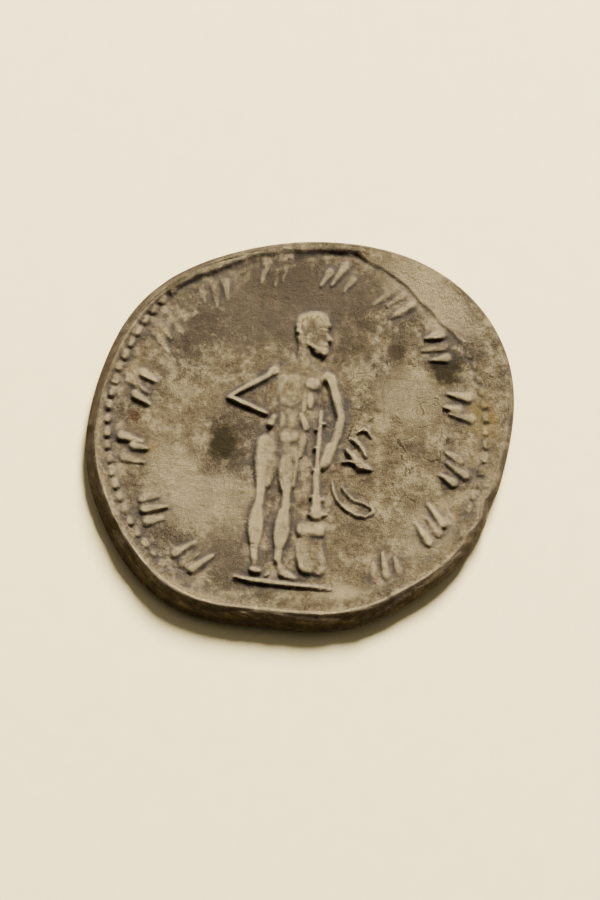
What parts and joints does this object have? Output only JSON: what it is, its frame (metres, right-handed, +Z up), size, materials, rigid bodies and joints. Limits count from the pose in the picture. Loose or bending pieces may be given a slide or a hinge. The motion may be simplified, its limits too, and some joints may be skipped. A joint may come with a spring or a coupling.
{
  "type": "antoninianus coin",
  "caption": "Ancient struck silver coin, uneven and worn, with a standing figure that leans on a club on one side and a draped bust in a radiate band on the other.",
  "frame": {"origin": "middle of the coin's box, on the surface that its underside rests on", "axes": "+Z up out of the side with the standing figure, +Y towards the figure's head, +X to the figure's right as it is seen"},
  "size_m": [0.0234, 0.0214, 0.0019],
  "materials": {
    "silver": "worn, toned silver: warm grey-brown fields, dark hollows round the relief and brighter high points, with a few dark stains"
  },
  "bodies": {
    "root": {"coin": "silver"}
  },
  "joints": []
}
